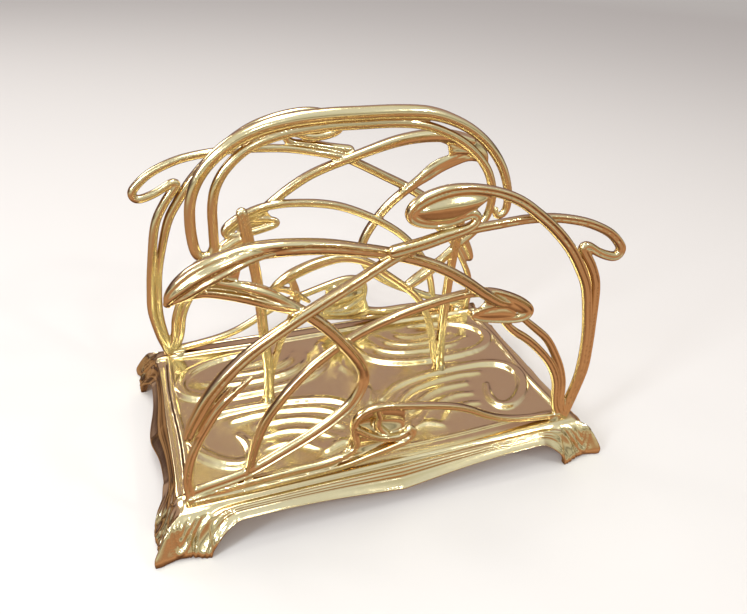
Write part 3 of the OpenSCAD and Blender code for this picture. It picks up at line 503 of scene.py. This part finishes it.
def rim_stations(index, x, y):
    """Stations round the deck, anticlockwise from the front left corner, with a fan at each corner.

    Each is the deck's vertex, its place, the reach and the outward direction there, the distance
    from the corner, the half length of the side, the distance from its middle, and how far round
    the corner it stands, 1 at the tip."""
    nx, ny = x.shape[0] - 1, x.shape[1] - 1
    sides = [([(i, 0) for i in range(nx + 1)], (0, -1)), ([(nx, j) for j in range(ny + 1)], (1, 0)),
             ([(i, ny) for i in range(nx, -1, -1)], (0, 1)), ([(0, j) for j in range(ny, -1, -1)], (-1, 0))]
    ring = []
    for k, (cells, out) in enumerate(sides):
        is_long = k % 2 == 0
        half, run = (HALF_X, x) if is_long else (HALF_Y, y)
        for cell in cells:
            along = abs(run[cell] - run[cells[0]])
            s, middle = min(along, 2 * half - along), abs(along - half)
            r = reach(is_long, s, middle)
            ring.append((index[cell], x[cell], y[cell], out[0] * r, out[1] * r, *out, s, half, middle, 0.0))
        cell = cells[-1]
        out, other = np.array(out), np.array(sides[(k + 1) % 4][1])
        a, b = out * reach(is_long, 0, half), other * reach(not is_long, 0, half)
        pull = (a + b) * TIP_SHAPE - TIP_PULL * (a + b)
        for m in range(1, CORNER_FAN):
            f = m / CORNER_FAN
            turn = 1 - abs(2 * f - 1)
            v = (1 - f) ** 2 * a + f ** 2 * b + 2 * f * (1 - f) * (a + b) + pull * turn ** TIP_POWER
            w = out * (1 - f) + other * f
            w = w / np.linalg.norm(w)
            ring.append((index[cell], x[cell], y[cell], *v, *w, 0.0, half, half, turn))
    return ring


# Section of the skirt from the deck to its lower edge: share of the reach, then share of the drop
APRON_OUT = [0, .05, .10, .16, .24, .32, .40, .46, .50, .54, .60, .68, .78, .90, .98, 1.0]
FOOT_OUT = [0, .08, .16, .24, .31, .38, .45, .52, .59, .67, .76, .85, .93, .985, 1.0, .97]
TIP_OUT = [0, .11, .22, .32, .42, .51, .59, .67, .74, .81, .87, .92, .96, .99, 1.0, .98]
APRON_UP = [1, .93, .88, .90, .95, .92, .84, .72, .60, .49, .39, .30, .21, .12, .05, 0]
SIDE_UP = [1, 1.03, 1.02, .95, .84, .74, .66, .58, .51, .44, .37, .30, .22, .13, .06, 0]
FOOT_UP = [1, .985, .95, .90, .84, .76, .67, .58, .50, .42, .34, .275, .215, .16, .09, 0]
TIP_UP = [1, .99, .965, .93, .89, .84, .78, .71, .63, .54, .44, .34, .24, .15, .07, 0]
TIP_SHARE = 0.55
# The lower edge: its height on the apron, the lobe in the middle, and the arch under each foot
FOOT_FADE = (6, 15)
FOOT_RUN, FOOT_RISE = 9.5, 12
APRON_GAP, LOBE_DROP, LONG_LOBE_REACH, SHORT_LOBE_REACH = 13.8, 5.2, 58, 34
ARCH_RISE, ARCH_RUN, ARCH_SPLIT = 1.2, 7, 0.4
# Lines along the skirt are placed by the value of run, 1 at the deck and 0 at the apron's lower edge;
# they bend down within some distance of a corner, and the other way on the way round to the tip
BEND_RUN, BEND_DIP, BEND_DIP_RUN, TIP_BEND = 10, 0.12, 5, -0.45
# Mouldings: height, place, width
MOULDINGS = [(0.30, 0.05, 0.06), (0.38, 0.44, 0.035), (0.38, 0.54, 0.035), (0.38, 0.66, 0.045)]
GROOVE = (0.35, 0.36, 0.03)
SHORT_SIDE_SHARE = 0.15
# Flutes between sharp ridges: from, to, depth
FLUTES = [(-0.04, 0.10, 0.4), (0.10, 0.22, 0.4), (0.22, 0.34, 0.4), (0.34, 0.48, 0.4), (0.48, 0.74, 0.7),
          (0.74, 0.90, 1.2), (0.90, 1.02, 0.5)]
FOOT_SWELL = 0.55
# Nested V lines of a foot: lowest point as a share of the drop, and height
V_LINES = [(0.84, 0.75), (0.62, 0.62), (0.42, 0.45)]
V_PLACE, V_TIP_SLOPE, V_SIDE_SLOPE, V_WIDTH, V_END = 2.2, 0.11, 0.07, 0.085, -7
# A scoop below them and a ridge down to the tip: depth or height, place round the foot, width
SCOOP, TIP_RIDGE, TIP_PLACE = (1.5, 2.6, 3.0), (0.7, 8, 2.2), 8
# Where each begins on the way down: start and run as shares of the drop
MOULDING_START, FLUTE_START, SCOOP_START, RIDGE_START = (0, 0.2), (0.10, 0.25), (0.28, 0.5), (0.2, 0.3)
LIFT, LIFT_END = 0.3, 0.97       # how much a bump also rises, but not at the lower edge
INNER_EVERY = 11                 # rows of the outside for one row of the inside


def profile(values):
    steps = np.linspace(0, 1, len(values))
    return smooth(np.interp(np.linspace(0, 1, SKIRT_ROWS), steps, values))


def onset(t, start):
    return ease((t - start[0]) / start[1])


def lower_edge(s, is_long, middle, turn):
    """Height of the skirt's lower edge, down to the table at the tips of the feet and at their claws."""
    rise = np.clip((s - FOOT_RUN) / FOOT_RISE, 0, 1) ** 0.5
    lobe = np.clip(1 - middle / np.where(is_long, LONG_LOBE_REACH, SHORT_LOBE_REACH), 0, 1)
    arch = (1 - turn) * ARCH_SPLIT + np.clip(s / ARCH_RUN, 0, 1) * (1 - ARCH_SPLIT)
    return rise * (APRON_GAP - LOBE_DROP * lobe ** 1.5) + ARCH_RISE * np.sin(np.pi * arch)


def moulding(t, run, is_long):
    """How far the apron's mouldings stand out at a share t of the drop."""
    wave = sum(size * bead(run, place, width) for size, place, width in MOULDINGS)
    wave = wave - GROOVE[0] * dent(run, GROOVE[1], GROOVE[2])
    return wave * onset(t, MOULDING_START) * np.where(is_long, 1, SHORT_SIDE_SHARE)


def claw(t, run, around):
    """How far a foot's flutes, V lines, scoop and ridge stand out at a share t of the drop."""
    out = FOOT_SWELL
    for start, end, hollow in FLUTES:
        inside = (run >= start) & (run < end)
        out = out - hollow * inside * np.sin(math.pi * np.clip((run - start) / (end - start), 0, 1))
    beyond = around - V_PLACE
    for lowest, size in V_LINES:
        line = lowest - np.where(beyond > 0, beyond * V_TIP_SLOPE, -beyond * V_SIDE_SLOPE)
        out = out + size * bead(t, line, V_WIDTH) * (around > V_END)
    out = out - SCOOP[0] * onset(t, SCOOP_START) * dent(around, SCOOP[1], SCOOP[2])
    return out + TIP_RIDGE[0] * bead(around, TIP_RIDGE[1], TIP_RIDGE[2]) * onset(t, RIDGE_START)


def skirt_rows(ring, top_z):
    """Rows of points down the outside of the skirt, then up its inside to under the deck."""
    sx, sy, vx, vy, wx, wy, s, half, middle, turn = np.array([station[1:] for station in ring]).T
    is_long = half == HALF_X
    foot = 1 - onset(s, FOOT_FADE)
    low = lower_edge(s, is_long, middle, turn)
    dip = BEND_DIP * np.clip(1 - np.abs(s - BEND_RUN) / BEND_DIP_RUN, 0, 1)
    bend = np.where(s > 0, np.clip(s / BEND_RUN, 0, 1) - dip, TIP_BEND * turn)
    around = np.where(s > 0, -s, TIP_PLACE * turn)
    apron_out, foot_out, tip_out = profile(APRON_OUT), profile(FOOT_OUT), profile(TIP_OUT)
    apron_up, side_up = profile(APRON_UP), profile(SIDE_UP)
    foot_up, tip_up = profile(FOOT_UP), profile(TIP_UP)
    rows = []
    for r, t in enumerate(np.linspace(0, 1, SKIRT_ROWS)[1:], 1):
        foot_g = foot_out[r] + (tip_out[r] - foot_out[r]) * turn * TIP_SHARE
        foot_h = foot_up[r] + (tip_up[r] - foot_up[r]) * turn * TIP_SHARE
        g = apron_out[r] * (1 - foot) + foot_g * foot
        h = np.where(is_long, apron_up[r], side_up[r]) * (1 - foot) + foot_h * foot
        run = 1 - t * bend
        deep = foot * onset(t, FLUTE_START)
        bump = moulding(t, run, is_long) * (1 - deep) + claw(t, run, around) * deep
        z = low + (top_z - low) * h + LIFT * bump * (t < LIFT_END)
        rows.append(np.stack([sx + vx * g + wx * bump, sy + vy * g + wy * bump, z], 1))
    for row in rows[:INNER_EVERY - 1:-INNER_EVERY]:
        z = low + (DECK_UNDER - low) * (row[:, 2] - low) / (top_z - low)
        rows.append(np.stack([row[:, 0] - wx * WALL, row[:, 1] - wy * WALL, z], 1))
    # underneath, the deck ends in a rectangle with rounded corners
    shrink_x, shrink_y = [1 - (WALL + INNER_CORNER) / half_side for half_side in (HALF_X, HALF_Y)]
    rows.append(np.stack([sx * shrink_x + wx * INNER_CORNER, sy * shrink_y + wy * INNER_CORNER,
                          np.full_like(sx, DECK_UNDER)], 1))
    return rows


def tray_mesh():
    """The deck as a grid, the skirt as rows round it, and a flat fan underneath."""
    x, y = np.meshgrid(grid_lines(HALF_X), grid_lines(HALF_Y), indexing="ij")
    top = np.stack([x, y, DECK + deck_height(x, y)], -1).reshape(-1, 3)
    index = np.arange(x.size).reshape(x.shape)
    faces = [(index[i, j], index[i + 1, j], index[i + 1, j + 1], index[i, j + 1])
             for i in range(x.shape[0] - 1) for j in range(x.shape[1] - 1)]
    ring = rim_stations(index, x, y)
    rim = np.array([station[0] for station in ring])
    rows = skirt_rows(ring, top[rim, 2])
    n = len(ring)
    loops = [rim] + [len(top) + n * k + np.arange(n) for k in range(len(rows))]
    for a, b in zip(loops[:-1], loops[1:]):
        for k in range(n):
            q = (k + 1) % n
            faces.append((a[k], b[k], b[q]) if a[k] == a[q] else (a[k], b[k], b[q], a[q]))
    curved = len(faces)
    middle = len(top) + n * len(rows)
    faces += [(loops[-1][k], middle, loops[-1][(k + 1) % n]) for k in range(n)]
    mesh = solid("tray", [(np.vstack([top, *rows, [[0, 0, DECK_UNDER]]]), faces)])
    mesh.shade_smooth()
    for face in mesh.polygons[curved:]:
        face.use_smooth = False
    return mesh


# ---------------------------------------------------------------- materials
# Metals: their own tone, a darker tone painted in as shade in hollows and underneath, and roughness
BRASS, BRASS_PAINTED_SHADE, BRASS_ROUGHNESS = (0.87, 0.73, 0.40), (0.49, 0.30, 0.14), 0.13
STEEL, STEEL_PAINTED_SHADE, STEEL_ROUGHNESS = (0.55, 0.53, 0.5), (0.25, 0.23, 0.2), 0.32
CLOUD_TINT = (0.97, 1.06, 1.25)      # the second tone of a metal as a multiple of the first
SEED_SHIFT = (1, 0.7, 1.3)
# Noises: scale, detail, roughness
CLOUD, FINE, SCRATCH = (38.0, 5.0, 0.6), (420.0, 4.0, 0.65), (900.0, 3.0, 0.7)
# From a range of the source to a range of painted shade: height of the normal, openness, cloud
PAINTED_UNDERSIDE_SHADE, PAINTED_HOLLOW_SHADE, PATCHES = (0.15, -0.75, 0.0, 0.55), (0.95, 0.35, 0.0, 0.8), (0.3, 0.75, 0.75, 1.1)
# reach of the ambient occlusion that places the painted shade in hollows
PAINTED_SHADE_REACH = 0.006
GLOSS_SPREAD = (0.75, 1.6)
SCRATCH_SHARE = 0.06
BUMP_STRENGTH, BUMP_HEIGHT = 0.25, 0.0006


def node(tree, kind, **values):
    """A shader node; in_NAME sets an input socket, any other name a setting."""
    n = tree.nodes.new(kind)
    for key, value in values.items():
        if key.startswith("in_"):
            n.inputs[key[3:].replace("_", " ")].default_value = value
        else:
            setattr(n, key, value)
    return n


def remap(tree, source, low, high, to_low, to_high):
    """Stretches a value from one range to another."""
    n = node(tree, "ShaderNodeMapRange", in_From_Min=low, in_From_Max=high,
             in_To_Min=to_low, in_To_Max=to_high)
    tree.links.new(source, n.inputs["Value"])
    return n.outputs["Result"]


def combine(tree, operation, a, b, **settings):
    """Arithmetic on two values, each a socket or a number."""
    n = node(tree, "ShaderNodeMath", operation=operation, **settings)
    for socket, value in zip(n.inputs, (a, b)):
        if isinstance(value, float):
            socket.default_value = value
        else:
            tree.links.new(value, socket)
    return n.outputs["Value"]


def noise(tree, vector, scale, detail, roughness):
    n = node(tree, "ShaderNodeTexNoise", in_Scale=scale, in_Detail=detail, in_Roughness=roughness)
    tree.links.new(vector, n.inputs["Vector"])
    return n.outputs["Fac"]


def metal(name, tone, hollow, roughness, seed):
    """Polished cast metal with shade painted into its colour in its hollows and underneath, with clouds,
    pitting and scratches.
    """
    mat = bpy.data.materials.new(name)
    mat.use_nodes = True
    tree = mat.node_tree
    link = tree.links.new
    bsdf = tree.nodes["Principled BSDF"]
    bsdf.inputs["Metallic"].default_value = 1.0
    coord = node(tree, "ShaderNodeTexCoord")
    place = node(tree, "ShaderNodeMapping", in_Location=[seed * k for k in SEED_SHIFT])
    link(coord.outputs["Object"], place.inputs["Vector"])
    spot = place.outputs["Vector"]
    cloud, fine, scratch = [noise(tree, spot, *grain) for grain in (CLOUD, FINE, SCRATCH)]

    geometry = node(tree, "ShaderNodeNewGeometry")
    split = node(tree, "ShaderNodeSeparateXYZ")
    link(geometry.outputs["Normal"], split.inputs["Vector"])
    # painted shade underneath: faces that point down take the darker tone
    underside_shade = remap(tree, split.outputs["Z"], *PAINTED_UNDERSIDE_SHADE)
    # painted shade in hollows, from ambient occlusion
    shade = node(tree, "ShaderNodeAmbientOcclusion", samples=8, in_Distance=PAINTED_SHADE_REACH)
    hollow_shade = remap(tree, shade.outputs["AO"], *PAINTED_HOLLOW_SHADE)
    shade_mask = combine(tree, "MAXIMUM", underside_shade, hollow_shade)
    shade_amount = combine(tree, "MULTIPLY", shade_mask, remap(tree, cloud, *PATCHES), use_clamp=True)

    unshaded_tone = node(tree, "ShaderNodeMix", data_type="RGBA")
    unshaded_tone.inputs["A"].default_value = (*tone, 1)
    unshaded_tone.inputs["B"].default_value = (*[c * k for c, k in zip(tone, CLOUD_TINT)], 1)
    link(cloud, unshaded_tone.inputs["Factor"])
    # the darker tone, given as hollow, is painted in as shade over the clouded tone
    shade_mix = node(tree, "ShaderNodeMix", data_type="RGBA")
    shade_mix.inputs["B"].default_value = (*hollow, 1)
    link(unshaded_tone.outputs["Result"], shade_mix.inputs["A"])
    link(shade_amount, shade_mix.inputs["Factor"])
    link(shade_mix.outputs["Result"], bsdf.inputs["Base Color"])
    gloss = remap(tree, fine, 0.3, 0.7, *[roughness * k for k in GLOSS_SPREAD])
    link(gloss, bsdf.inputs["Roughness"])

    scratches = combine(tree, "MULTIPLY", scratch, SCRATCH_SHARE)
    bump = node(tree, "ShaderNodeBump", in_Strength=BUMP_STRENGTH, in_Distance=BUMP_HEIGHT)
    link(combine(tree, "ADD", cloud, scratches), bump.inputs["Height"])
    link(bump.outputs["Normal"], bsdf.inputs["Normal"])
    return mat


def brass(name, seed):
    return metal(name, BRASS, BRASS_PAINTED_SHADE, BRASS_ROUGHNESS, seed)


# ---------------------------------------------------------------- pieces
def dress(ob, mat, cad_node):
    """Gives a casting its material and its body, in place of the CAD piece."""
    ob.data.materials.clear()
    ob.data.materials.append(mat)
    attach(ob, "root")
    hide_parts(cad_node)


front = cast("front_casting", panel_forms())
front.data.transform(Matrix.Translation((0, -PANEL_OFFSET * MM, 0)))
back = add_object("back_casting", front.data.copy())
back.data.transform(Matrix.Rotation(math.pi, 4, "Z"))
divider = cast("divider_casting", divider_forms())
tray = add_object("tray_casting", tray_mesh())

dress(front, brass("brass_front", 0.0), "front_panel")
dress(back, brass("brass_back", 1.7), "back_panel")
dress(divider, brass("brass_divider", 3.1), "centre_divider")
dress(tray, brass("brass_tray", 5.3), "base")
screw_steel = metal("screw_steel", STEEL, STEEL_PAINTED_SHADE, STEEL_ROUGHNESS, 7.0)
for name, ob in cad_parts.items():
    if name.startswith(("screw_", "washer_")):
        ob.data.materials.clear()
        ob.data.materials.append(screw_steel)

# ---------------------------------------------------------------- stage
# Profile of the round floor and the wall that it sweeps up into: [radius, height] in metres
SWEEP_PROFILE = [(0.001, 0), (0.6, 0), (2.2, 0), (2.45, 0.03), (2.7, 0.14), (2.88, 0.34), (2.97, 0.6),
                 (3.0, 1.0), (3.0, 3.2)]
SWEEP_SIDES = 96
PAPER, PAPER_ROUGHNESS = (0.68, 0.665, 0.64), 0.7


def paper_floor():
    n = SWEEP_SIDES
    turns = [2 * math.pi * k / n for k in range(n)]
    verts = [(r * math.cos(a), r * math.sin(a), z) for r, z in SWEEP_PROFILE for a in turns]
    faces = [(i * n + k, i * n + (k + 1) % n, (i + 1) * n + (k + 1) % n, (i + 1) * n + k)
             for i in range(len(SWEEP_PROFILE) - 1) for k in range(n)]
    mesh = bpy.data.meshes.new("floor")
    mesh.from_pydata(verts, [], faces + [tuple(range(n))])
    mesh.shade_smooth()
    paper = bpy.data.materials.new("paper")
    paper.use_nodes = True
    bsdf = paper.node_tree.nodes["Principled BSDF"]
    bsdf.inputs["Base Color"].default_value = (*PAPER, 1)
    bsdf.inputs["Roughness"].default_value = PAPER_ROUGHNESS
    mesh.materials.append(paper)
    floor = add_object("floor", mesh)
    # the metal mirrors the room below, not the pale paper
    floor.visible_glossy = False
    floor.visible_shadow = False
    floor.visible_diffuse = False


# Camera: focal length as a share of the frame's width, place in millimetres, then its angles in radians
FOCAL, EYE = 0.85114, (-95.83, -248.03, 232.77)
YAW, TILT, ROLL = 0.38997, 0.55539, 0.06366
SENSOR = 36


def photo_camera():
    forward = Vector((math.sin(YAW) * math.cos(TILT), math.cos(YAW) * math.cos(TILT), -math.sin(TILT)))
    level = Vector((math.cos(YAW), -math.sin(YAW), 0))
    upright = level.cross(forward)
    right = math.cos(ROLL) * level + math.sin(ROLL) * upright
    up = -math.sin(ROLL) * level + math.cos(ROLL) * upright
    camera = bpy.data.cameras.new("camera")
    camera.sensor_width = SENSOR
    camera.lens = SENSOR * FOCAL
    camera.clip_start, camera.clip_end = 0.01, 20
    eye = add_object("camera", camera)
    turned = Matrix((right, up, -forward)).transposed().to_4x4()
    eye.matrix_world = Matrix.Translation(Vector(EYE) * MM) @ turned
    bpy.context.scene.camera = eye


# Lights: place, what they point at, size, power, colour
WARM, COOL = (1, 0.97, 0.92), (0.84, 0.91, 1.0)
LIGHTS = {
    "top": ((-0.10, 0.05, 1.2), (0, 0, 0.05), (0.9, 0.5), 8.0, (1, 0.98, 0.95)),
    "window": ((-1.1, -0.5, 0.75), (0, 0, 0.06), (0.2, 0.6), 9.0, COOL),
    "lamp_right": ((0.7, -0.8, 0.9), (0, 0, 0.06), (0.09, 0.09), 2.2, WARM),
    "lamp_front": ((-0.2, -1.1, 0.8), (0, 0, 0.06), (0.07, 0.07), 1.6, WARM),
    "softbox": ((-0.75, -1.1, 0.62), (0, 0, 0.03), (0.45, 0.10), 1.6, (0.92, 0.96, 1.0)),
    "rim": ((-0.85, 0.9, 0.9), (0, 0, 0.08), (0.3, 0.5), 4.0, (1, 0.97, 0.94)),
}


def soft_light(name, place, target, size, power, colour):
    light = bpy.data.lights.new(name, "AREA")
    light.shape = "RECTANGLE"
    light.size, light.size_y = size
    light.energy = power
    light.color = colour
    ob = add_object(name, light)
    ob.location = place
    ob.rotation_euler = (Vector(target) - Vector(place)).to_track_quat("-Z", "Y").to_euler()


# What the metal mirrors, from straight down to straight up: towards the back, and towards the front
BEHIND = [(0.0, (0.13, 0.065, 0.04)), (0.20, (0.36, 0.205, 0.125)), (0.36, (0.43, 0.25, 0.155)),
          (0.44, (0.24, 0.125, 0.075)), (0.50, (0.045, 0.025, 0.022)), (0.57, (0.12, 0.07, 0.075)),
          (0.68, (0.40, 0.27, 0.28)), (0.87, (0.43, 0.30, 0.30)), (0.92, (0.68, 0.64, 0.52)),
          (1.0, (0.76, 0.78, 0.82))]
BEFORE = [(0.0, (0.10, 0.045, 0.03)), (0.13, (0.34, 0.165, 0.10)), (0.22, (0.60, 0.315, 0.195)),
          (0.34, (0.42, 0.215, 0.135)), (0.41, (0.50, 0.36, 0.25)), (0.46, (0.66, 0.62, 0.53)),
          (0.53, (0.60, 0.57, 0.50)), (0.555, (0.10, 0.08, 0.06)), (0.60, (0.46, 0.44, 0.38)),
          (0.70, (0.62, 0.62, 0.58)), (0.84, (0.70, 0.72, 0.76)), (1.0, (0.76, 0.78, 0.82))]
FRONT_TO_BACK = (-0.35, 0.25)


def gradient(tree, height, stops):
    """Colours by height, one stop after another."""
    ramp = node(tree, "ShaderNodeValToRGB")
    band = ramp.color_ramp.elements
    for end, (spot, colour) in zip(band, (stops[0], stops[-1])):
        end.position, end.color = spot, (*colour, 1)
    for spot, colour in stops[1:-1]:
        band.new(spot).color = (*colour, 1)
    tree.links.new(height, ramp.inputs["Fac"])
    return ramp.outputs["Color"]


def studio_world():
    world = bpy.data.worlds.new("studio")
    bpy.context.scene.world = world
    world.use_nodes = True
    tree = world.node_tree
    way = node(tree, "ShaderNodeTexCoord")
    heading = node(tree, "ShaderNodeSeparateXYZ")
    tree.links.new(way.outputs["Generated"], heading.inputs["Vector"])
    climb = remap(tree, heading.outputs["Z"], -1.0, 1.0, 0.0, 1.0)
    room = node(tree, "ShaderNodeMix", data_type="RGBA")
    tree.links.new(remap(tree, heading.outputs["Y"], *FRONT_TO_BACK, 0.0, 1.0), room.inputs["Factor"])
    tree.links.new(gradient(tree, climb, BEFORE), room.inputs["A"])
    tree.links.new(gradient(tree, climb, BEHIND), room.inputs["B"])
    background = tree.nodes["Background"]
    tree.links.new(room.outputs["Result"], background.inputs["Color"])
    background.inputs["Strength"].default_value = 1.0


paper_floor()
photo_camera()
for name, settings in LIGHTS.items():
    soft_light(name, *settings)
studio_world()
bpy.context.scene.view_settings.view_transform = "Standard"
